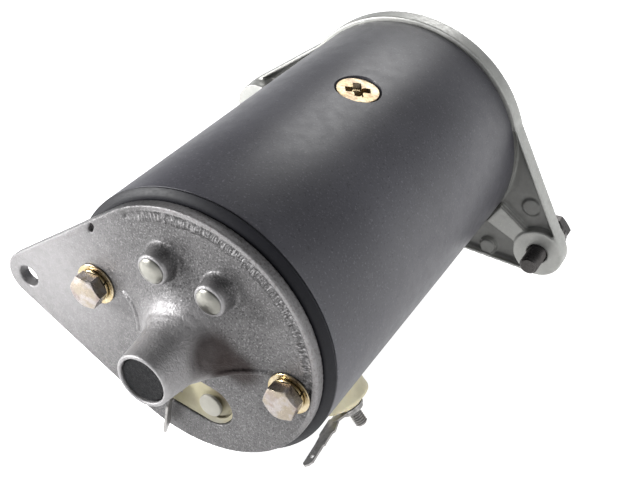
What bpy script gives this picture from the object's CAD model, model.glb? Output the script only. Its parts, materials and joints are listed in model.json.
"""Looks of a belt-driven direct-current car generator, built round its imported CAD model.

Shapes are drawn in the machine's own frame, as in the CAD: the shaft lies along Y, y = 0 is the
commutator end of the yoke, X runs through both through bolts and Z through both pole screws.
MACHINE carries each finished mesh from there to the row frame, and the materials carry their
coordinates back. Angles go about the shaft from +X towards +Z.
"""
import json
import math

import bmesh
import bpy
from mathutils import Matrix, Vector


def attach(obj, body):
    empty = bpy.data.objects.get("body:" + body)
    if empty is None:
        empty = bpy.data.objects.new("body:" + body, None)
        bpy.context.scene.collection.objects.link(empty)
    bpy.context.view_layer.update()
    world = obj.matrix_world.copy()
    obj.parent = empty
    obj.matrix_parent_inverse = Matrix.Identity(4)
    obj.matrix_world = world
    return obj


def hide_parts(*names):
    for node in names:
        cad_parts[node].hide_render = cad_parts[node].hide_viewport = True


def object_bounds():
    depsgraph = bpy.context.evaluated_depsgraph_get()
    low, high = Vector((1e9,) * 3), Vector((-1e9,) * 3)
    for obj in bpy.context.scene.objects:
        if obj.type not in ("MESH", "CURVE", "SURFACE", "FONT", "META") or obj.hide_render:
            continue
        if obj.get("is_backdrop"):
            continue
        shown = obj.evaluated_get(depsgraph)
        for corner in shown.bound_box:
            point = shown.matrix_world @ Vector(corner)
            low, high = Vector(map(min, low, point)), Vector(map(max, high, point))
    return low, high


MM = 0.001
REST_ROLL = math.radians(12.6)
SHAFT_TIP_Y = 196.0
MACHINE = Matrix.Translation((0, -SHAFT_TIP_Y * MM, 0)) @ Matrix.Rotation(REST_ROLL, 4, "Y")
SIDES = (("upper", math.pi / 2), ("lower", -math.pi / 2))

# Camera, in metres in the row frame
CAMERA_PLACE = (0.170734, -0.40207, 0.208328)
CAMERA_RIGHT = Vector((0.861001, 0.50742, -0.034589))
CAMERA_FORWARD = Vector((-0.438690, 0.70650, -0.555347))
CAMERA_LENS = 59.55

# Studio: lamps are (name, place from the object's middle in metres, size in metres, watts)
LAMPS = (("key", (-0.34, -0.31, 0.17), 0.14, 3.4), ("strip", (-0.26, 1.2, 0.95), 0.7, 8.0),
         ("right", (0.75, -0.1, 0.35), 0.5, 1.6))
FLOOR_REACH = 15.0
FLOOR_GLOW = 0.88
SKY_COLOUR = (0.95, 0.97, 1.0, 1)
SKY_FADE = (("From Min", 0.05), ("From Max", 0.42), ("To Min", 1.0), ("To Max", 0.17))

# Sizes in millimetres in the machine's frame
YOKE_R = 50.8
YOKE_BORE = 45.3
YOKE_LENGTH = 147.5
POLE_SCREW_Y = 88.0
CE_R = 47.6
CE_FACE_Y = -7.0
CE_BACK_Y = -3.0
SPIGOT_R = 45.0
SPIGOT_BORE = 41.0
PIVOT = (-68.6, -15.2)
PIVOT_HOLE_R = 4.15
CE_EAR_R = 9.2
CHATTER_R = (43.6, 45.7)
CHATTER_MIDDLE = math.radians(60)
CHATTER_HALF = math.radians(70)
NOSE_Y = -32.3
NOSE_BORE = 8.2
UPPER_RIVETS = ((-12.3, 25.6), (9.1, 25.9))
LOWER_RIVETS = ((-10.8, -27.0), (10.8, -27.0))
WINDOW_R = 8.1
WINDOW_X = 11.6
WINDOW_Z = -26.3
BOLT_RADIUS = 38.3
BOLT_HOLE_R = 3.5
BOLT_HEAD_Y = (-13.8, -9.3)
RIVET_HOLE_R = 2.5
STUD_HOLE_R = 2.7
DE_R = 52.5
DE_FRONT_Y = 147.8
DE_BACK_Y = 154.6
DE_WEB_Y = 151.2
HUB_R = 27.0
HUB_BORE = 13.8
BEARING_R = 20.3
VENT_R = (31.0, 40.5)
VENT_HALF = math.radians(17)
POCKET_ROOT = YOKE_R - 0.6
ADJUSTER = (71.65, -26.5)
ADJUSTER_HOLE_R = 4.4
LUG_R = 11.0
BOSS_R = 10.7
LAND = 1.3
PIVOT_LUG = (PIVOT, LUG_R, 50.3, 50.3)
ADJUSTER_LUG = (ADJUSTER, LUG_R, 46.5, 51.7)
PIVOT_BOSS_Y = 142.0
ADJUSTER_BOSS_Y = 147.2
ADJUSTER_BACK_Y = 162.4
STUD_ANGLE = math.radians(-40.8)
STUD_Y = 34.2
STUD_TOP = 68.4
TAG_SEAT = 60.1
TAG_ROOT = Vector((44.0, 26.0, -41.65))
TAG_WIDTH = Vector((0.759, -0.044, 0.650))
TAG_LENGTH = Vector((0.054, -0.990, -0.130))


# ---------------------------------------------------------------- shape helpers, in millimetres

def tidy(bm):
    """Merge doubled points, drop empty faces and turn the normals outwards."""
    bmesh.ops.remove_doubles(bm, verts=bm.verts, dist=1e-4)
    bmesh.ops.dissolve_degenerate(bm, edges=bm.edges, dist=1e-5)
    bmesh.ops.recalc_face_normals(bm, faces=bm.faces)
    return bm


def turned(profile, steps=64, ring=False):
    """Turn (radius, y) points about the shaft axis."""
    bm = bmesh.new()
    verts = [bm.verts.new((radius, y, 0.0)) for radius, y in profile]
    edges = [bm.edges.new(pair) for pair in zip(verts, verts[1:])]
    if ring:
        edges.append(bm.edges.new((verts[-1], verts[0])))
    bmesh.ops.spin(bm, geom=verts + edges, cent=(0, 0, 0), axis=(0, 1, 0), angle=math.tau,
                   steps=steps, use_merge=True)
    return tidy(bm)


def tube(inner, outer, y0, y1, steps=64, edge=0.0):
    """A tube with small chamfers of the given width."""
    if edge == 0.0:
        return turned([(inner, y0), (inner, y1), (outer, y1), (outer, y0)], steps, ring=True)
    return turned([(inner, y0 + edge), (inner, y1 - edge), (inner + edge, y1), (outer - edge, y1),
                   (outer, y1 - edge), (outer, y0 + edge), (outer - edge, y0), (inner + edge, y0)],
                  steps, ring=True)


def rod(radius, y0, y1, steps=48):
    return turned([(0, y0), (radius, y0), (radius, y1), (0, y1)], steps)


def prism(outline, y0, y1):
    """Closed solid with an (x, z) outline, from y0 to y1."""
    bm = bmesh.new()
    face = bm.faces.new([bm.verts.new((x, y0, z)) for x, z in outline])
    grown = bmesh.ops.extrude_face_region(bm, geom=[face])
    lifted = [item for item in grown["geom"] if isinstance(item, bmesh.types.BMVert)]
    bmesh.ops.translate(bm, vec=(0, y1 - y0, 0), verts=lifted)
    return tidy(bm)


def loft(levels):
    """Closed solid through outlines of the same number of (x, z) points, each at its own y."""
    bm = bmesh.new()
    rings = [[bm.verts.new((x, y, z)) for x, z in points] for points, y in levels]
    for near, far in zip(rings, rings[1:]):
        for i, vert in enumerate(near):
            bm.faces.new((near[i - 1], vert, far[i], far[i - 1]))
    bm.faces.new(rings[0])
    bm.faces.new(rings[-1])
    return tidy(bm)


def box(x, y, z):
    """Block between two limits on each axis."""
    return prism([(x[0], z[0]), (x[1], z[0]), (x[1], z[1]), (x[0], z[1])], y[0], y[1])


def arc(radius, start, end, steps, cx=0.0, cz=0.0):
    """Points (x, z) along an arc round (cx, cz)."""
    angles = [start + (end - start) * i / steps for i in range(steps + 1)]
    return [(cx + radius * math.cos(a), cz + radius * math.sin(a)) for a in angles]


def sector(r0, r1, middle, half_angle, y0, y1, steps=24):
    """Part of a ring about the shaft."""
    outer = arc(r1, middle - half_angle, middle + half_angle, steps)
    inner = arc(r0, middle + half_angle, middle - half_angle, steps)
    return prism(outer + inner, y0, y1)


def hexagon(across_flats, turn=0.0):
    """Corners of a hexagon."""
    return arc(across_flats / math.sqrt(3), turn, turn + math.tau * 5 / 6, 5)


def changed(bm, matrix):
    bmesh.ops.transform(bm, matrix=matrix, verts=bm.verts)
    return bm


def moved(bm, x=0.0, y=0.0, z=0.0):
    return changed(bm, Matrix.Translation((x, y, z)))


def at_point(bm, spot):
    return moved(bm, x=spot[0], z=spot[1])


def turned_to(bm, angle):
    """Swing a shape built at the top of the machine to another angle about the shaft."""
    return changed(bm, Matrix.Rotation(math.pi / 2 - angle, 4, "Y"))


def upright(bm):
    """Stand a shape that was turned about Y on the Z axis, with +Y becoming +Z."""
    return changed(bm, Matrix.Rotation(math.pi / 2, 4, "X"))


def evaluated(holder):
    """The holder's mesh with its modifiers applied."""
    bpy.context.view_layer.update()
    shaped = holder.evaluated_get(bpy.context.evaluated_depsgraph_get())
    result = bmesh.new()
    result.from_mesh(shaped.to_mesh())
    shaped.to_mesh_clear()
    return result


def holder_of(bm):
    """Put a shape in a passing object, for modifiers to work on."""
    mesh = bpy.data.meshes.new("solid")
    bm.to_mesh(mesh)
    bm.free()
    holder = bpy.data.objects.new("solid", mesh)
    bpy.context.scene.collection.objects.link(holder)
    return holder


def drop(holder):
    mesh = holder.data
    bpy.data.objects.remove(holder)
    bpy.data.meshes.remove(mesh)


def combined(base, tools, operation):
    """Join or cut closed solids, one tool after another."""
    holders = [holder_of(bm) for bm in [base] + list(tools)]
    for tool in holders[1:]:
        step = holders[0].modifiers.new("cut", "BOOLEAN")
        step.operation = operation
        step.solver = "EXACT"
        step.object = tool
    result = evaluated(holders[0])
    for holder in holders:
        drop(holder)
    bmesh.ops.remove_doubles(result, verts=result.verts, dist=1e-3)
    bmesh.ops.dissolve_degenerate(result, edges=result.edges, dist=1e-3)
    return result


def union(base, *tools):
    return combined(base, tools, "UNION")


def less(base, *tools):
    return combined(base, tools, "DIFFERENCE")


def common(base, *tools):
    return combined(base, tools, "INTERSECT")


def cast_skin(bm, voxel, rounds, keep=0.45):
    """Round every edge and corner of a casting: rebuild it on a fine grid and relax it."""
    holder = holder_of(bm)
    grid = holder.modifiers.new("grid", "REMESH")
    grid.mode = "VOXEL"
    grid.voxel_size = voxel
    relax = holder.modifiers.new("relax", "SMOOTH")
    relax.factor = 0.5
    relax.iterations = rounds
    thin = holder.modifiers.new("thin", "DECIMATE")
    thin.ratio = keep
    result = evaluated(holder)
    drop(holder)
    return result


def soften(item, width_mm, limit):
    """Small rounded edges wherever two faces meet at more than the limit."""
    edge = item.modifiers.new("edge", "BEVEL")
    edge.width = width_mm * MM
    edge.segments = 2
    edge.limit_method = "ANGLE"
    edge.angle_limit = math.radians(limit)
    edge.harden_normals = True


def piece(name, bm, surface, body, nodes, bevel=0.0, sharp=35):
    """Finish a shape drawn in the machine's frame: it rides on a body and stands for CAD nodes."""
    changed(bm, MACHINE @ Matrix.Scale(MM, 4))
    mesh = bpy.data.meshes.new(name)
    bm.to_mesh(mesh)
    bm.free()
    mesh.materials.append(surface)
    mesh.shade_smooth()
    mesh.set_sharp_from_angle(angle=math.radians(sharp))
    item = bpy.data.objects.new(name, mesh)
    bpy.context.scene.collection.objects.link(item)
    if bevel > 0:
        soften(item, bevel, 40)
    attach(item, body)
    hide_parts(*nodes)


# ---------------------------------------------------------------- materials

def times(colour, *factors):
    """A colour made brighter or darker, by one factor or by one for each channel."""
    if len(factors) == 1:
        factors = factors * 3
    return tuple(value * factor for value, factor in zip(colour, factors))


class Surface:
    """A Principled material with short calls for the procedural detail on it."""

    def __init__(self, name, colour, roughness, metallic=0.0):
        self.material = bpy.data.materials.new(name)
        self.material.use_nodes = True
        self.tree = self.material.node_tree
        self.shader = self.tree.nodes["Principled BSDF"]
        self.shader.inputs["Base Color"].default_value = (*colour, 1)
        self.shader.inputs["Roughness"].default_value = roughness
        self.shader.inputs["Metallic"].default_value = metallic
        machine = self.node("ShaderNodeMapping")
        machine.inputs["Rotation"].default_value = (0, -REST_ROLL, 0)
        machine.inputs["Location"].default_value = (0, SHAFT_TIP_Y * MM, 0)
        self.place = machine.outputs["Vector"]
        self.colour = None
        self.normal = None
        self.link(self.node("ShaderNodeTexCoord").outputs["Object"], machine.inputs["Vector"])

    def node(self, kind, **settings):
        item = self.tree.nodes.new(kind)
        for key, value in settings.items():
            setattr(item, key, value)
        return item

    def link(self, source, target):
        self.tree.links.new(source, target)

    def noise(self, grain_mm, detail=4.0, roughness=0.55, stretch=(1, 1, 1)):
        """Noise whose grains are about grain_mm across."""
        mapping = self.node("ShaderNodeMapping")
        mapping.inputs["Scale"].default_value = stretch
        texture = self.node("ShaderNodeTexNoise")
        texture.inputs["Scale"].default_value = 1 / (grain_mm * MM)
        texture.inputs["Detail"].default_value = detail
        texture.inputs["Roughness"].default_value = roughness
        self.link(self.place, mapping.inputs["Vector"])
        self.link(mapping.outputs["Vector"], texture.inputs["Vector"])
        return texture.outputs["Fac"]

    def cells(self, grain_mm, feature="F1"):
        texture = self.node("ShaderNodeTexVoronoi", feature=feature)
        texture.inputs["Scale"].default_value = 1 / (grain_mm * MM)
        self.link(self.place, texture.inputs["Vector"])
        return texture.outputs["Distance"]

    def band(self, value, low, high, out_low=0.0, out_high=1.0):
        """Map a value from low..high to out_low..out_high, smoothly."""
        item = self.node("ShaderNodeMapRange", interpolation_type="SMOOTHSTEP")
        for socket, number in (("From Min", low), ("From Max", high), ("To Min", out_low),
                               ("To Max", out_high)):
            item.inputs[socket].default_value = number
        self.link(value, item.inputs["Value"])
        return item.outputs["Result"]

    def math(self, operation, a, b=0.0):
        item = self.node("ShaderNodeMath", operation=operation)
        for socket, value in zip(item.inputs, (a, b)):
            if isinstance(value, (int, float)):
                socket.default_value = value
            else:
                self.link(value, socket)
        return item.outputs[0]

    def tint(self, mask, colour):
        """Lay a colour over what is there, where the mask is 1."""
        mix = self.node("ShaderNodeMix", data_type="RGBA")
        if self.colour is None:
            mix.inputs[6].default_value = self.shader.inputs["Base Color"].default_value
        else:
            self.link(self.colour, mix.inputs[6])
        mix.inputs[7].default_value = (*colour, 1)
        self.link(mask, mix.inputs[0])
        self.colour = mix.outputs[2]
        self.link(self.colour, self.shader.inputs["Base Color"])

    def rough(self, value, low, high):
        self.link(self.band(value, 0.3, 0.7, low, high), self.shader.inputs["Roughness"])

    def bump(self, height, depth_mm, strength=1.0):
        item = self.node("ShaderNodeBump")
        item.inputs["Distance"].default_value = depth_mm * MM
        item.inputs["Strength"].default_value = strength
        self.link(height, item.inputs["Height"])
        if self.normal is not None:
            self.link(self.normal, item.inputs["Normal"])
        self.normal = item.outputs["Normal"]
        self.link(self.normal, self.shader.inputs["Normal"])

    def polar(self):
        """Radius in millimetres and angle in radians about the shaft, and y in metres."""
        split = self.node("ShaderNodeSeparateXYZ")
        self.link(self.place, split.inputs[0])
        x, z = split.outputs["X"], split.outputs["Z"]
        squares = self.math("ADD", self.math("MULTIPLY", x, x), self.math("MULTIPLY", z, z))
        radius = self.math("MULTIPLY", self.math("SQRT", squares), 1 / MM)
        return radius, self.math("ARCTAN2", z, x), split.outputs["Y"]

    def along_rim(self, radius, angle, tangential_mm, radial_mm):
        """Noise whose marks are short along the rim and longer across it."""
        join = self.node("ShaderNodeCombineXYZ")
        self.link(self.math("MULTIPLY", radius, 1 / radial_mm), join.inputs[0])
        self.link(self.math("MULTIPLY", angle, 44.5 / tangential_mm), join.inputs[1])
        texture = self.node("ShaderNodeTexNoise")
        texture.inputs["Scale"].default_value = 1.0
        texture.inputs["Detail"].default_value = 3.0
        self.link(join.outputs[0], texture.inputs["Vector"])
        return texture.outputs["Fac"]

    def near(self, spot_mm, reach_mm):
        """1 at a point of the machine's frame, falling to 0 at the given distance."""
        gap = self.node("ShaderNodeVectorMath", operation="DISTANCE")
        self.link(self.place, gap.inputs[0])
        gap.inputs[1].default_value = [value * MM for value in spot_mm]
        return self.band(gap.outputs["Value"], 0.0, reach_mm * MM, 1.0, 0.0)


def paint():
    """Dark blue-grey sprayed paint with a fine, slightly rough grain and faint scuffs."""
    s = Surface("dark_grey_paint", (0.045, 0.044, 0.053), 0.42, 0.0)
    s.tint(s.band(s.noise(38, 3), 0.35, 0.7), (0.057, 0.056, 0.067))
    s.tint(s.band(s.noise(0.8, 2), 0.58, 0.72, 0, 0.6), (0.13, 0.127, 0.145))
    s.tint(s.band(s.noise(0.9, 2, 0.5, (1.2, 0.8, 1)), 0.58, 0.72, 0, 0.6), (0.018, 0.017, 0.023))
    s.tint(s.band(s.noise(2.4, 3), 0.66, 0.74, 0, 0.35), (0.085, 0.083, 0.095))
    s.rough(s.noise(5, 4), 0.4, 0.46)
    s.shader.inputs["Specular IOR Level"].default_value = 0.62
    s.bump(s.noise(0.8, 3, 0.6), 0.05, 0.6)
    return s.material


def cast_aluminium(name, colour, chatter=False):
    """Mottled, sand-grained cast aluminium; the commutator end has a band of tool chatter."""
    s = Surface(name, colour, 0.5, 0.7)
    s.tint(s.band(s.noise(14, 5), 0.42, 0.66, 0, 0.5), times(colour, 0.6))
    s.tint(s.band(s.noise(0.65, 2), 0.54, 0.64, 0, 0.7), times(colour, 1.9))
    s.tint(s.band(s.noise(0.7, 2, 0.5, (1, 1.3, 0.9)), 0.54, 0.66, 0, 0.8), times(colour, 0.4))
    if chatter:
        radius, angle, along = s.polar()
        inner = s.band(s.math("ADD", radius, s.math("MULTIPLY", s.noise(2.5, 2), 2.5)), 43.0, 44.2)
        outer = s.band(radius, 45.4, 46.3, 1, 0)
        start = s.band(angle, math.radians(-12), math.radians(12))
        end = s.band(angle, math.radians(112), math.radians(134), 1, 0)
        zone = s.math("MULTIPLY", s.math("MULTIPLY", inner, outer), s.math("MULTIPLY", start, end))
        marks = s.along_rim(radius, angle, 0.75, 2.0)
        rim = s.math("MULTIPLY", s.band(radius, 45.7, 46.1), s.band(angle, math.radians(-30), 0.0))
        rim = s.math("MULTIPLY", rim, s.band(angle, math.radians(105), math.radians(122), 1, 0))
        s.tint(s.band(along, -9.5 * MM, -15 * MM), times(colour, 2.5))
        s.tint(s.math("MULTIPLY", s.near((-58, -7, -6), 55), 0.75), times(colour, 2.6))
        for spot, reach in (((11, -12, 4), 14), ((19, -9, -1), 13)):
            s.tint(s.band(s.near(spot, reach), 0.0, 0.65, 0, 0.9), (0.02, 0.013, 0.012))
        s.tint(s.math("MULTIPLY", zone, s.band(marks, 0.5, 0.38, 0, 0.8)), times(colour, 0.3))
        s.tint(s.math("MULTIPLY", zone, s.band(marks, 0.53, 0.64, 0, 0.8)), times(colour, 2.4))
        s.tint(s.math("MULTIPLY", rim, 0.8), times(colour, 2.1))
        streaks = s.band(s.noise(0.8, 4, 0.65), 0.5, 0.66, 0, 0.6)
        s.tint(s.math("MULTIPLY", rim, streaks), times(colour, 0.9, 0.78, 0.74))
    s.rough(s.noise(2.0, 4), 0.4, 0.58)
    s.bump(s.noise(0.85, 3, 0.6), 0.22, 0.9)
    s.bump(s.noise(3.0, 3), 0.2, 0.5)
    if chatter:
        s.bump(s.math("MULTIPLY", marks, zone), 0.7, 1.0)
    return s.material


def machined_aluminium(colour):
    """Paler, finer cast metal, darker where the ears are sunk at the front."""
    s = Surface("machined_aluminium", colour, 0.45, 0.6)
    s.tint(s.band(s.noise(7, 4), 0.4, 0.7, 0, 0.45), times(colour, 0.75))
    s.tint(s.band(s.noise(0.8, 3), 0.58, 0.72, 0, 0.5), times(colour, 1.3))
    along = s.polar()[2]
    facing = s.node("ShaderNodeSeparateXYZ")
    s.link(s.node("ShaderNodeTexCoord").outputs["Normal"], facing.inputs[0])
    front = s.band(facing.outputs["Y"], -0.25, -0.75)
    sunk = s.band(along, (DE_FRONT_Y + 0.25) * MM, (DE_FRONT_Y + 0.5) * MM)
    s.tint(s.math("MULTIPLY", s.math("MULTIPLY", front, sunk), 0.85), times(colour, 0.27))
    s.rough(s.noise(1.5, 4), 0.36, 0.55)
    s.bump(s.noise(0.8, 4), 0.06, 0.6)
    s.bump(s.noise(0.35, 2, 0.5, (1, 9, 1)), 0.03, 0.5)
    return s.material


def yellow_zinc(name="yellow_zinc", colour=(0.42, 0.34, 0.2)):
    """Passivated zinc plate: dull gold with pale, pink and brown clouds."""
    s = Surface(name, colour, 0.28, 1.0)
    s.tint(s.band(s.noise(4.0, 3), 0.42, 0.62, 0, 0.7), times(colour, 1.3, 1.4, 1.75))
    s.tint(s.band(s.noise(6.0, 2, 0.5, (1, 1.4, 0.8)), 0.5, 0.66, 0, 0.6),
           times(colour, 0.7, 0.62, 0.75))
    s.rough(s.noise(1.2, 4), 0.22, 0.4)
    s.bump(s.noise(0.5, 4), 0.03, 0.5)
    return s.material


def metal(name, colour, low, high, grain=1.5, depth=0.03, stain=0.6):
    """Bare metal with a mottled tone and fine unevenness."""
    s = Surface(name, colour, (low + high) / 2, 1.0)
    s.tint(s.band(s.noise(grain * 4, 4), 0.45, 0.7, 0, 0.6), times(colour, stain))
    s.rough(s.noise(grain, 4), low, high)
    s.bump(s.noise(grain * 0.4, 3), depth, 0.5)
    return s.material


def plain(name, colour, low, high, grain=1.5, depth=0.05, shade=0.7, glow=0.0, dull=False):
    """Rubber, felt, fibre or moulding: dielectric with uneven tone and surface."""
    s = Surface(name, colour, (low + high) / 2)
    s.tint(s.band(s.noise(grain * 3, 4), 0.4, 0.7, 0, 0.6), times(colour, shade))
    s.rough(s.noise(grain, 4), low, high)
    s.bump(s.noise(grain * 0.5, 3), depth, 0.6)
    if dull:
        s.shader.inputs["Specular IOR Level"].default_value = 0.2
    if glow > 0:
        s.shader.inputs["Subsurface Weight"].default_value = glow
        s.shader.inputs["Subsurface Radius"].default_value = (1.0, 0.7, 0.35)
        s.shader.inputs["Subsurface Scale"].default_value = 1.5 * MM
    return s.material


def sheet_insulation():
    """Thin cream sheet, browned by heat towards one side."""
    s = Surface("insulating_sheet", (0.36, 0.33, 0.215), 0.42)
    s.tint(s.band(s.noise(7, 4), 0.4, 0.7, 0, 0.6), (0.27, 0.24, 0.15))
    s.tint(s.band(s.near((16, -4.5, -17), 13), 0.0, 0.7), (0.06, 0.042, 0.026))
    s.tint(s.near((15, -6.5, -37), 11), (0.13, 0.125, 0.115))
    s.rough(s.noise(2.5, 4), 0.35, 0.5)
    s.bump(s.noise(1.2, 3), 0.04, 0.6)
    return s.material


def coil_tape():
    """Varnished cotton tape with a woven texture and wrapped edges."""
    s = Surface("coil_tape", (0.42, 0.31, 0.16), 0.5)
    wraps = s.node("ShaderNodeTexWave", bands_direction="Y")
    wraps.inputs["Scale"].default_value = 42
    wraps.inputs["Distortion"].default_value = 1.2
    s.link(s.place, wraps.inputs["Vector"])
    s.tint(s.band(wraps.outputs["Fac"], 0.0, 0.25, 0.8, 0), (0.2, 0.13, 0.06))
    s.tint(s.band(s.noise(0.6, 2), 0.5, 0.7, 0, 0.5), (0.55, 0.43, 0.25))
    s.bump(wraps.outputs["Fac"], 0.25, 0.7)
    s.bump(s.cells(0.7), 0.1, 0.6)
    return s.material


def laminations():
    """Stacked sheet iron: fine lines across the shaft and a dull varnish."""
    s = Surface("laminated_iron", (0.17, 0.16, 0.155), 0.45, 0.85)
    sheets = s.node("ShaderNodeTexWave", bands_direction="Y")
    sheets.inputs["Scale"].default_value = 320
    s.link(s.place, sheets.inputs["Vector"])
    s.tint(s.band(s.noise(6, 4), 0.45, 0.7, 0, 0.6), (0.1, 0.07, 0.055))
    s.rough(s.noise(2, 4), 0.35, 0.6)
    s.bump(sheets.outputs["Fac"], 0.06, 0.7)
    return s.material


# ---------------------------------------------------------------- camera, light and floor

def stage():
    """Camera as in the photo, a plain pale floor, a dim sky and three soft lamps."""
    camera = bpy.data.objects.new("camera", bpy.data.cameras.new("camera"))
    bpy.context.scene.collection.objects.link(camera)
    up = CAMERA_RIGHT.cross(CAMERA_FORWARD)
    turn = Matrix((CAMERA_RIGHT, up, -CAMERA_FORWARD)).transposed()
    camera.matrix_world = Matrix.Translation(CAMERA_PLACE) @ turn.to_4x4()
    camera.data.lens = CAMERA_LENS
    camera.data.sensor_width = 36
    camera.data.clip_start = 0.01
    bpy.context.scene.camera = camera
    bpy.context.scene.view_settings.view_transform = "Standard"

    low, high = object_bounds()
    floor_mesh = bpy.data.meshes.new("floor")
    signs = ((-1, -1), (1, -1), (1, 1), (-1, 1))
    corners = [(x * FLOOR_REACH, y * FLOOR_REACH, low.z) for x, y in signs]
    floor_mesh.from_pydata(corners, [], [(0, 1, 2, 3)])
    floor = bpy.data.objects.new("floor", floor_mesh)
    bpy.context.scene.collection.objects.link(floor)
    paper = Surface("floor", (0.9, 0.9, 0.9), 0.9)
    paper.shader.inputs["Emission Color"].default_value = (1, 1, 1, 1)
    paper.shader.inputs["Emission Strength"].default_value = FLOOR_GLOW
    floor_mesh.materials.append(paper.material)
    floor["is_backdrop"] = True

    world = bpy.data.worlds.new("studio")
    world.use_nodes = True
    world.node_tree.nodes["Background"].inputs["Color"].default_value = SKY_COLOUR
    nodes, links = world.node_tree.nodes, world.node_tree.links
    split = nodes.new("ShaderNodeSeparateXYZ")
    glow = nodes.new("ShaderNodeMapRange")
    glow.interpolation_type = "SMOOTHSTEP"
    for socket, number in SKY_FADE:
        glow.inputs[socket].default_value = number
    links.new(nodes.new("ShaderNodeTexCoord").outputs["Generated"], split.inputs[0])
    links.new(split.outputs["Z"], glow.inputs["Value"])
    links.new(glow.outputs["Result"], nodes["Background"].inputs["Strength"])
    bpy.context.scene.world = world

    middle = (Vector(low) + Vector(high)) / 2
    for name, place, size, power in LAMPS:
        light = bpy.data.lights.new(name, "AREA")
        light.size = size
        light.energy = power
        lamp = bpy.data.objects.new(name, light)
        bpy.context.scene.collection.objects.link(lamp)
        lamp.location = middle + Vector(place)
        lamp.rotation_euler = (middle - lamp.location).to_track_quat("-Z", "Y").to_euler()


# ---------------------------------------------------------------- castings and yoke

def lug_outline(disc_r, lugs, step=math.radians(2.5)):
    """Outline of a disc with lugs, by rising angle; a lug is (centre, radius, low base, high base).

    Each side of a lug is the common tangent of the lug's circle and a base circle about the shaft.
    A base smaller than the disc makes the side meet the disc at a corner.
    """
    corners = []
    for centre, tip_r, low_base, high_base in lugs:
        heading = math.atan2(centre[1], centre[0]) % math.tau
        distance = math.hypot(*centre)
        low, high = [math.acos((base - tip_r) / distance) for base in (low_base, high_base)]
        corners.append((heading - low, heading + high, heading - low + math.acos(low_base / disc_r),
                        heading + high - math.acos(high_base / disc_r)))
    outline = []
    for i, (centre, tip_r, low_base, high_base) in enumerate(lugs):
        start, end = corners[i][:2]
        outline += arc(tip_r, start, end, 24, *centre)
        disc_start = corners[i][3]
        disc_end = (corners[(i + 1) % len(lugs)][2] - disc_start) % math.tau + disc_start
        outline += arc(disc_r, disc_start, disc_end, round((disc_end - disc_start) / step))
    return outline


def window_outline(radius, steps=20):
    """Long round-ended opening over the lower rivets."""
    right = arc(radius, -math.pi / 2, math.pi / 2, steps, WINDOW_X, WINDOW_Z)
    left = arc(radius, math.pi / 2, math.pi * 3 / 2, steps, -WINDOW_X, WINDOW_Z)
    return right + left


def nose():
    """Bearing nose: a slim flare all round, and a wide one above that ends in two curved steps."""
    slim = [(0, NOSE_Y), (9.1, NOSE_Y), (9.6, -31.9), (9.75, -31.3), (10.1, -28), (10.6, -24),
            (11.2, -19.5), (11.9, -16), (12.9, -12.5), (14.1, -10), (15.4, -8.2), (17.2, -6.6),
            (17.2, -5), (0, -5)]
    wide = [(0, -20), (11.0, -20), (12.0, -17), (13.6, -14), (15.8, -11.8), (18.6, -10.4),
            (21.8, -9.3), (25.2, -8.5), (28.5, -7.8), (31.5, -7.25), (34.5, -6.9), (34.5, -5),
            (0, -5)]
    right_step = at_point(rod(68.6, -40, 0, 160), (52.5, -62.1))
    left_step = union(at_point(rod(8.05, -40, 0, 64), (-26.6, -4.9)),
                      box((-45, -26.6), (-40, 0), (-45, 3.1)),
                      box((-45, -18.6), (-40, 0), (-45, -4.9)))
    below = box((-19, 12), (-40, 0), (-40, -13))

    def raised(height, outer):
        return turned([(r, y - height) if y > -14 and 15 < r < outer else (r, y) for r, y in wide],
                      120)
    right_lip = common(raised(0.9, 30), at_point(tube(68.6, 70.2, -40, -4, 160), (52.5, -62.1)))
    left_lip = common(raised(0.8, 31), at_point(tube(8.05, 9.4, -40, -4, 64), (-26.6, -4.9)),
                      box((-26.6, 0), (-40, 0), (-6, 10)))
    flare = less(union(turned(wide, 120), right_lip, left_lip), right_step, left_step, below)
    return union(turned(slim, 96), flare)


def commutator_end_bracket(cast):
    """Disc with an ear, nose, rivet bosses, window and a band of tool chatter."""
    boss = [(0, -13.7), (5.1, -13.7), (5.6, -13.2), (5.8, -10.5), (6.2, -8.3), (7.0, -7.1),
            (7.0, -4), (0, -4)]
    bosses = [at_point(turned(boss, 48), spot) for spot in UPPER_RIVETS]
    body = union(
        prism(lug_outline(CE_R, [(PIVOT, CE_EAR_R, CE_R, CE_R)]), CE_FACE_Y, CE_BACK_Y),
        tube(SPIGOT_BORE, SPIGOT_R, CE_BACK_Y - 0.5, 3.0, 96),
        at_point(rod(8.8, CE_BACK_Y - 1, CE_BACK_Y + 0.4), PIVOT),
        nose(), *bosses)
    body = less(
        body,
        sector(*CHATTER_R, CHATTER_MIDDLE, CHATTER_HALF, -9, CE_FACE_Y + 0.5, 90),
        prism(window_outline(WINDOW_R), -20, 0),
        at_point(rod(PIVOT_HOLE_R, -20, 5), PIVOT),
        *[at_point(rod(BOLT_HOLE_R, -20, 5, 32), (side * BOLT_RADIUS, 0)) for side in (-1, 1)],
        *[at_point(rod(RIVET_HOLE_R, -20, 5, 24), spot) for spot in UPPER_RIVETS],
        rod(NOSE_BORE, NOSE_Y - 1, 5, 64),
        changed(box((-0.85, 0.85), (-9, -4.9), (-1.9, 1.9)), Matrix.Translation((-41.5, 0, 22.3)) @
                Matrix.Rotation(math.radians(15), 4, "Y")))
    piece("commutator_end_bracket_cast", cast_skin(body, 0.45, 3), cast, "frame",
          ["commutator_end_bracket"], sharp=60)


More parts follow.
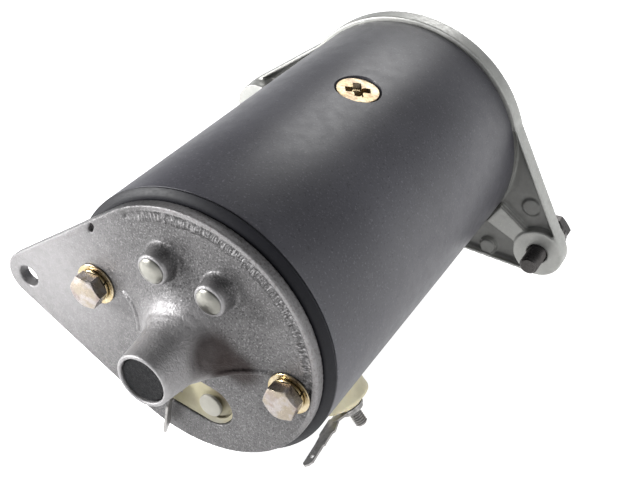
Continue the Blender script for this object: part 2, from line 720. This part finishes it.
def kidney(middle):
    """Cutter for one ventilation opening."""
    inner_r, outer_r = VENT_R
    centre_r = (inner_r + outer_r) / 2
    half_width = (outer_r - inner_r) / 2
    low, high = middle - VENT_HALF, middle + VENT_HALF
    points = arc(outer_r, low, high, 12)
    points += arc(half_width, high, high + math.pi, 10, *arc(centre_r, high, high, 1)[0])[1:-1]
    points += arc(inner_r, high, low, 12)
    points += arc(half_width, low + math.pi, low + math.tau, 10,
                  *arc(centre_r, low, low, 1)[0])[1:-1]
    return prism(points, DE_FRONT_Y - 10, DE_BACK_Y + 10)


def ear_pocket(lug):
    """Recess between the yoke and a lug boss, sloping up to the ear's bright front land."""
    centre, tip_r, low_base, high_base = lug
    heading, distance = math.atan2(centre[1], centre[0]), math.hypot(*centre)
    low, high = [math.acos((base - tip_r) / distance) for base in (low_base, high_base)]

    def outline(inset):
        low_r, high_r = max(POCKET_ROOT, low_base - inset), max(POCKET_ROOT, high_base - inset)
        low_end = heading - low + math.acos(min(1, (low_base - inset) / POCKET_ROOT))
        high_end = heading + high - math.acos(min(1, (high_base - inset) / POCKET_ROOT))
        return (arc(tip_r - inset, heading - low, heading + high, 24, *centre)
                + arc(high_r, high_end, high_end, 1)[:1] + arc(POCKET_ROOT, high_end, low_end, 24)
                + arc(low_r, low_end, low_end, 1)[:1])
    return loft([(outline(LAND), DE_FRONT_Y - 10), (outline(LAND), DE_WEB_Y - 1.6),
                 (outline(LAND + 0.8), DE_WEB_Y - 0.6), (outline(LAND + 1.7), DE_WEB_Y)])


def ear_rib(centre):
    """Flat rib from the flange to a lug boss, narrower at the boss."""
    start, end = YOKE_R + 0.4, math.hypot(*centre) - 5
    rib = prism([(-5.6, start), (5.6, start), (3.7, end), (-3.7, end)], DE_FRONT_Y + 0.33,
                DE_WEB_Y + 1)
    return turned_to(rib, math.atan2(centre[1], centre[0]))


def drive_end_bracket(cast):
    """Flange with two ears, pockets, ribs, hub, bearing seat and four vents."""
    ears = ((PIVOT, PIVOT_BOSS_Y, PIVOT_HOLE_R), (ADJUSTER, ADJUSTER_BOSS_Y, ADJUSTER_HOLE_R))
    lugs = (PIVOT_LUG, ADJUSTER_LUG)
    body = less(prism(lug_outline(DE_R, lugs), DE_FRONT_Y, DE_BACK_Y),
                *[ear_pocket(lug) for lug in lugs])
    raised_pad = turned([(0, 148.7), (3.1, 148.7), (3.6, 149.2), (3.7, 152), (0, 152)], 40)
    low_pad = turned([(0, 150.4), (3.5, 150.4), (3.9, 150.8), (4.0, 152), (0, 152)], 40)
    pads = [at_point(raised_pad, (50.3, -35.7)), at_point(low_pad, (62.1, -8.5))]
    body = union(
        body, *[ear_rib(centre) for centre, y, r in ears], *pads,
        tube(SPIGOT_BORE, SPIGOT_R, 143.5, DE_FRONT_Y + 1, 96),
        rod(HUB_R, 137.0, 158.0, 96),
        at_point(rod(7.6, DE_BACK_Y - 1, ADJUSTER_BACK_Y, 48), ADJUSTER),
        *[at_point(rod(BOSS_R, y, DE_BACK_Y - 1, 64), centre) for centre, y, r in ears],
        *[at_point(rod(6.4, 141.0, DE_WEB_Y, 32), (side * BOLT_RADIUS, 0)) for side in (-1, 1)])
    body = less(
        body,
        rod(BEARING_R, 130, 152.4, 96), rod(HUB_BORE, 130, 165, 64), rod(21.5, 138.1, 140.1, 96),
        *[at_point(rod(r, y - 5, ADJUSTER_BACK_Y + 5, 40), centre) for centre, y, r in ears],
        *[at_point(rod(BOLT_HOLE_R, 136, DE_BACK_Y + 5, 32), (side * BOLT_RADIUS, 0))
          for side in (-1, 1)],
        *[kidney(math.radians(45 + 90 * i)) for i in range(4)])
    piece("drive_end_bracket_cast", cast_skin(body, 0.5, 3), cast, "frame", ["drive_end_bracket"],
          sharp=60)


def yoke(painted):
    """Rolled tube with countersinks for the pole screws and a hole for the stud."""
    body = turned([(YOKE_BORE, 0.3), (YOKE_BORE, YOKE_LENGTH - 0.3), (YOKE_BORE + 0.3, YOKE_LENGTH),
                   (YOKE_R - 0.5, YOKE_LENGTH), (YOKE_R - 0.15, YOKE_LENGTH - 0.15),
                   (YOKE_R, YOKE_LENGTH - 0.5), (YOKE_R, 100), (YOKE_R, 50), (YOKE_R, 0.5),
                   (YOKE_R - 0.15, 0.15), (YOKE_R - 0.5, 0), (YOKE_BORE + 0.3, 0)], 180, ring=True)
    cuts = []
    for _, side in SIDES:
        hole = turned([(0, 40), (5.0, 40), (5.0, 46.5), (8.75, 49.6), (8.75, 50.2), (9.1, 51.5),
                       (0, 51.5)], 48)
        cuts.append(turned_to(moved(upright(hole), y=POLE_SCREW_Y), side))
    cuts.append(turned_to(moved(upright(rod(4.4, 40, 55, 32)), y=STUD_Y), STUD_ANGLE))
    piece("yoke_tube", less(body, *cuts), painted, "frame", ["yoke"])


def sealing_ring(rubber):
    """Black band between the yoke and the commutator-end bracket."""
    profile = [(45.6, -2.7), (45.6, -0.3), (50.4, -0.3), (50.8, -0.6), (50.75, -1.0), (49.9, -1.75),
               (48.9, -2.35), (48.2, -2.65), (47.6, -2.7)]
    piece("sealing_ring_band", turned(profile, 160, ring=True), rubber, "frame", ["sealing_ring"])


# ---------------------------------------------------------------- fastenings

def chamfered_hex(across_flats, y0, y1, both=False, turn=0.0):
    """Hexagon head or nut whose corners are turned off at the front, or at both ends."""
    corner = across_flats / math.sqrt(3)
    flat = across_flats / 2 - 0.25
    drop_y = (corner + 0.05 - flat) * 0.55
    back = [(flat, y1), (0, y1)] if both else [(corner + 0.05, y1), (0, y1)]
    lower = [(corner + 0.05, y1 - drop_y)] if both else []
    cone = turned([(0, y0), (flat, y0), (corner + 0.05, y0 + drop_y)] + lower + back, 64)
    return common(prism(hexagon(across_flats, turn), y0, y1), cone)


def threaded(radius, y0, y1, pitch, steps=40):
    """A rod with thread ridges and a chamfered end at y0."""
    depth = pitch * 0.55
    profile = [(0, y0), (radius - depth - 0.2, y0), (radius - depth, y0 + 0.3)]
    y = y0 + 0.3
    while y + pitch < y1:
        profile += [(radius - depth, y + pitch * 0.1), (radius, y + pitch * 0.45),
                    (radius, y + pitch * 0.6), (radius - depth, y + pitch * 0.95)]
        y += pitch
    profile += [(radius - depth, y1), (0, y1)]
    return turned(profile, steps)


def spring_washer(inner, outer, y0, y1):
    """Split ring, cut on the slant."""
    slot = changed(box((inner - 1, outer + 1), (-3, 3), (-0.35, 0.35)),
                   Matrix.Rotation(math.radians(28), 4, "X"))
    slot = changed(moved(slot, y=(y0 + y1) / 2), Matrix.Rotation(math.radians(-40), 4, "Y"))
    return less(tube(inner, outer, y0, y1, 48, 0.12), slot)


def through_bolts(zinc, heads):
    """Two long bolts, each with a spring washer and a plain washer."""
    for name, side, turn in (("left", -1, math.radians(10)), ("right", 1, math.radians(22))):
        spot = (side * BOLT_RADIUS, 0)
        head = chamfered_hex(11.1, *BOLT_HEAD_Y, turn=turn)
        bolt = union(head, rod(3.1, -9.8, 153.6, 32))
        piece(f"bolt_{name}", at_point(bolt, spot), heads, "frame", [f"through_bolt_{name}"],
              0.12)
        piece(f"bolt_spring_washer_{name}", at_point(spring_washer(3.4, 5.9, -9.0, -8.2), spot),
              zinc, "frame", [f"through_bolt_spring_washer_{name}"])
        piece(f"bolt_plain_washer_{name}", at_point(tube(3.4, 7.6, -7.9, -7.3, 64, 0.15), spot),
              zinc, "frame", [f"through_bolt_plain_washer_{name}"])


def pole_screws(zinc):
    """Countersunk screws with a cross recess that tapers towards its bottom."""
    for name, side in SIDES:
        body = turned([(0, 37), (4.7, 37), (4.7, 46.9), (7.9, 49.5), (8.0, 49.7), (7.8, 49.95),
                       (7.2, 50.0), (0, 50.0)], 64)
        arms = []
        for turn in (0, math.pi / 2):
            arm = prism([(-4.7, 0.0), (-3.7, -1.6), (3.7, -1.6), (4.7, 0.0)], -1.6, 1.6)
            arms.append(changed(moved(arm, z=50.05), Matrix.Rotation(turn + 0.6, 4, "Z")))
        throat = upright(turned([(0, 47.0), (1.3, 47.0), (2.7, 50.3), (0, 50.3)], 24))
        screw = less(upright(body), *arms, throat)
        piece(f"pole_screw_{name}_head", turned_to(moved(screw, y=POLE_SCREW_Y), side), zinc,
              "frame", [f"pole_screw_{name}"], 0.1)


def adjuster_bolt(black):
    """Black bolt through the adjusting lug, with its split washer at the back."""
    head = chamfered_hex(12.7, 165.3, 170.5, both=True, turn=math.radians(20))
    body = union(head, threaded(3.95, 136.7, 166.3, 1.25))
    piece("adjuster_bolt_body", at_point(body, ADJUSTER), black, "frame", ["adjuster_bolt"])
    piece("adjuster_bolt_ring", at_point(spring_washer(4.3, 7.2, 162.8, 164.9), ADJUSTER), black,
          "frame", ["adjuster_bolt_washer"])


def box_rivets(steel, dull):
    """Domed rivets above and flatter ones in the window."""
    domed = [(0, -15.2), (1.6, -15.1), (3.0, -14.75), (4.0, -14.25), (4.45, -13.95), (4.5, -13.85),
             (2.2, -13.8), (2.2, -1.2), (3.4, -1.2), (3.4, 0.0), (0, 0.0)]
    flat = [(0, -7.1), (3.9, -7.0), (4.2, -6.9), (4.35, -6.7), (4.35, -5.7), (2.2, -5.9),
            (2.2, 0.8), (3.4, 0.8), (3.4, 2.0), (0, 2.0)]
    for place, shape, spots, surface in (("upper", domed, UPPER_RIVETS, steel),
                                         ("lower", flat, LOWER_RIVETS, dull)):
        for side, spot in zip(("left", "right"), spots):
            piece(f"rivet_{place}_{side}", at_point(turned(shape, 48), spot), surface, "frame",
                  [f"brush_box_rivet_{place}_{side}"])


# ---------------------------------------------------------------- terminals

def insulator_plate(sheet):
    """Sheet behind the window, bulging into it, with a curved slit by one rivet."""
    holes = [at_point(rod(RIVET_HOLE_R, -8, 5, 24), spot) for spot in LOWER_RIVETS]
    slope = prism([(-8, -37.5), (-6.75, -35.6), (-3.2, -18.5), (-3.2, -12), (-8, -12)], -30, 30)
    changed(slope, Matrix.Rotation(math.pi / 2, 4, "Z"))
    filling = less(prism(window_outline(WINDOW_R - 0.25), -6.75, -2.0), slope,
                   at_point(sector(5.4, 6.4, math.radians(-45), math.radians(34), -9, -4.4),
                            (12.3, -25.3)))
    plate = less(union(prism(window_outline(WINDOW_R + 2.6), -2.7, -1.0), filling), *holes)
    piece("insulator_plate", plate, sheet, "frame", ["brush_insulator_plate"],
          0.2)


def output_blade(tin):
    """Tab under the left lower rivet, bent to a blade that hangs below the nose."""
    width, thick = 6.3, 0.8
    tab = less(box((-15.0, -1.2), (-5.6, -4.8), (-31.0, -23.0)),
               at_point(rod(RIVET_HOLE_R, -8, 0, 24), LOWER_RIVETS[0]))
    back = -2.9
    front = back - width
    outline = [(0, -23.4), (-3.0, -23.4), (front, -30.4), (front, -43.8), (front + 1.5, -45.8),
               (back - 1.2, -45.8), (back, -44.2), (back, -34.5), (0, -32.0)]
    stem = prism(outline, -thick / 2, thick / 2)
    changed(stem, Matrix.Translation((-5.0, -4.9, 0)) @ Matrix.Rotation(math.radians(110), 4, "Z"))
    piece("output_blade", union(tab, stem), tin, "frame", ["output_terminal_blade"],
          0.12)


def on_stud(bm):
    """Carry a shape turned about +Y to the stud; its y becomes the distance from the shaft."""
    return turned_to(moved(upright(bm), y=STUD_Y), STUD_ANGLE)


def terminal_block(cream):
    """Round moulded bush with a rounded rim, shaped to the yoke underneath."""
    bush = on_stud(turned([(0, 45), (9.5, 45), (9.6, 52.5), (9.8, 56.6), (9.3, 57.6), (8.4, 57.9),
                           (5.4, 57.9), (5.2, 58.4), (5.0, TAG_SEAT - 0.3), (0, TAG_SEAT - 0.3)],
                          72))
    yoke_space = moved(rod(YOKE_R + 0.3, -40, 40, 160), y=STUD_Y)
    body = less(union(less(bush, yoke_space), on_stud(rod(4.0, 43.8, 53, 32))),
                on_stud(rod(STUD_HOLE_R, 40, 62, 32)))
    piece("terminal_block_moulding", cast_skin(body, 0.3, 3, 0.5), cream, "frame",
          ["terminal_block"], sharp=60)


def flat_strip(outline, thick):
    """A strip drawn as (x, y) points, lying in the XY plane."""
    bm = prism(outline, -thick / 2, thick / 2)
    for vert in bm.verts:
        vert.co = (vert.co.x, vert.co.z, vert.co.y)
    bmesh.ops.recalc_face_normals(bm, faces=bm.faces)
    return bm


def tag_place(bm):
    """Carry the spade, drawn with its root at the centre and its length along -Y, to the stud."""
    back = -TAG_LENGTH.normalized()
    across = (TAG_WIDTH - back * TAG_WIDTH.dot(back)).normalized()
    turn = Matrix((across, back, across.cross(back))).transposed()
    return changed(bm, Matrix.Translation(TAG_ROOT) @ turn.to_4x4())


def field_terminal(tin, zinc):
    """Tag on the stud: a ring, a bent neck and a spade, with the stud and its washer."""
    spade = flat_strip([(-3.15, 0.9), (-3.15, -6.6), (-2.9, -7.1), (-2.5, -7.4), (-2.1, -12.0),
                        (-2.1, -20.3), (-0.9, -21.3), (0.9, -20.8), (2.0, -19.4), (1.9, -11.9),
                        (2.65, -11.2), (2.4, -10.6), (2.4, -5.6), (3.15, -5.0), (3.15, -4.3),
                        (1.6, 0.9)], 0.8)
    hole = moved(upright(rod(0.9, -2, 2, 24)), x=0.2, y=-17.0)
    spade = tag_place(less(spade, hole))
    ring = on_stud(rod(5.0, TAG_SEAT, TAG_SEAT + 0.8, 48))
    neck = flat_strip([(5.6, 34.2), (6.0, 26.8), (5.9, 25.4), (1.4, 25.2), (-1.5, 29.2)], 0.78)
    neck = turned_to(moved(neck, z=TAG_SEAT + 0.4), STUD_ANGLE)
    body = less(union(ring, neck, spade), on_stud(rod(STUD_HOLE_R, 55, 65, 32)))
    piece("field_blade", body, tin, "frame", ["field_terminal_blade"], 0.1)
    stud = union(changed(threaded(2.4, -STUD_TOP, -41.0, 0.9), Matrix.Rotation(math.pi, 4, "X")),
                 prism(hexagon(7.0), 40.2, 42.0))
    piece("stud", on_stud(stud), zinc, "frame", ["terminal_stud"])
    piece("stud_washer", on_stud(tube(2.7, 4.2, 61.2, 62.2, 48, 0.12)), zinc, "frame",
          ["terminal_washer"])


# ---------------------------------------------------------------- shaft and its fittings

def shaft_pieces(steel, zinc, rubber):
    """Shaft, pulley nut and washer, spacing collar and the plug in the nose."""
    body = turned([(0, -29.2), (5.4, -29.2), (6, -28.6), (6, 0.5), (8.5, 0.5), (8.5, 134.6),
                   (10.8, 134.6), (10.8, 139.9), (8.5, 139.9), (8.5, 179.5), (8.0, 180.0),
                   (5.6, 180.0), (5.6, 182), (0, 182)], 64)
    tip = moved(changed(threaded(6.35, -14, 2, 1.27, steps=56), Matrix.Rotation(math.pi, 4, "X")),
                y=182)
    slot = changed(rod(7.3, -1.8, 1.8, 40),
                   Matrix.Translation((0, 168.5, 7.6)) @ Matrix.Rotation(-math.pi / 2, 4, "Z"))
    piece("shaft_bar", less(union(body, tip), slot), steel, "armature", ["shaft"])
    nut = less(chamfered_hex(19.05, 183.0, 192.8, both=True),
               turned([(0, 180), (7.4, 180), (7.4, 183.2), (6.7, 184), (6.7, 191.8), (7.4, 192.6),
                       (7.4, 200), (0, 200)]))
    piece("nut", nut, zinc, "armature", ["pulley_nut"])
    piece("nut_washer", spring_washer(6.7, 10.6, 180.3, 182.7), zinc, "armature",
          ["pulley_nut_spring_washer"])
    piece("spacing_collar", tube(8.8, 11.2, 152.5, 160.0, 64, 0.4), steel, "armature",
          ["pulley_spacing_collar"])
    plug = turned([(0, -31.2), (6.5, -31.3), (7.6, -31.4), (7.9, -31.1), (7.9, -29.9), (0, -29.9)],
                  64)
    piece("nose_plug_disc", plug, rubber, "frame", ["nose_plug"])


def internal_finishes(finishes):
    """Procedural finishes and soft edges for the CAD nodes that show only through openings."""
    for node, item in frame["nodes"].items():
        slot = slots[node]
        item.data.materials.clear()
        item.data.materials.append(finishes[slot])
        item.data.shade_smooth()
        weld = item.modifiers.new("weld", "WELD")
        weld.merge_threshold = 1e-6
        soften(item, 0.12, 35)


# ---------------------------------------------------------------- the scene

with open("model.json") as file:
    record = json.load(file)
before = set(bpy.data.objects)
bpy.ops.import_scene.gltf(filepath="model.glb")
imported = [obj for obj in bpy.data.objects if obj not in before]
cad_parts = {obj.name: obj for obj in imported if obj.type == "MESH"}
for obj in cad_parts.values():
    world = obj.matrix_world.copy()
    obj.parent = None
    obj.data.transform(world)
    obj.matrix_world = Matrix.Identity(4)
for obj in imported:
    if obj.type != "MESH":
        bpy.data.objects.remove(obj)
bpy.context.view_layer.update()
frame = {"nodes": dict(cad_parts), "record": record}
slots = {entry["node"]: entry["material_slot"] for entry in frame["record"]["subparts"]}
stage()

zinc = yellow_zinc()
finishes = {
    "dark_grey_paint": paint(),
    "cast_aluminium": cast_aluminium("cast_aluminium", (0.115, 0.112, 0.113), chatter=True),
    "black_rubber": plain("black_rubber", (0.009, 0.009, 0.012), 0.45, 0.55, 0.8, 0.02, dull=True),
    "yellow_zinc": zinc,
    "bright_steel": metal("bright_steel", (0.66, 0.65, 0.62), 0.22, 0.38),
    "black_oxide": metal("black_oxide", (0.085, 0.08, 0.078), 0.24, 0.4),
    "laminated_iron": laminations(),
    "copper": metal("copper", (0.72, 0.33, 0.17), 0.25, 0.45),
    "coil_tape": coil_tape(),
    "sintered_bronze": metal("sintered_bronze", (0.46, 0.3, 0.13), 0.4, 0.6, 0.6, 0.06),
    "oil_felt": plain("oil_felt", (0.25, 0.19, 0.12), 0.8, 1.0, 0.5, 0.3),
    "red_fibre": plain("red_fibre", (0.3, 0.08, 0.05), 0.5, 0.7, 0.6, 0.06),
    "dark_moulding": plain("dark_moulding", (0.1, 0.045, 0.02), 0.3, 0.5),
    "insulating_sheet": sheet_insulation(),
    "cream_moulding": plain("cream_moulding", (0.66, 0.61, 0.43), 0.4, 0.55, 2.5, 0.06, 0.75, 0.3),
    "tinned_brass": metal("tinned_brass", (0.36, 0.35, 0.34), 0.35, 0.5, 0.5, 0.06, 0.4),
    "brush_carbon": plain("brush_carbon", (0.03, 0.03, 0.033), 0.35, 0.6, 0.4, 0.05),
}
internal_finishes(finishes)

yoke(finishes["dark_grey_paint"])
sealing_ring(finishes["black_rubber"])
commutator_end_bracket(finishes["cast_aluminium"])
drive_end_bracket(machined_aluminium((0.42, 0.42, 0.4)))
through_bolts(zinc, yellow_zinc("brown_zinc", (0.29, 0.25, 0.2)))
pole_screws(yellow_zinc("pale_zinc", (0.29, 0.225, 0.13)))
adjuster_bolt(finishes["black_oxide"])
box_rivets(metal("satin_rivet", (0.25, 0.245, 0.22), 0.28, 0.42),
           plain("dull_rivet", (0.26, 0.25, 0.215), 0.4, 0.55, 1.5, 0.03, 0.85))
insulator_plate(finishes["insulating_sheet"])
output_blade(finishes["tinned_brass"])
terminal_block(finishes["cream_moulding"])
field_terminal(finishes["tinned_brass"], finishes["tinned_brass"])
shaft_pieces(finishes["bright_steel"], zinc, plain("porous_plug", (0.006, 0.006, 0.007), 0.6, 0.85,
                                                   0.9, 0.5, dull=True))
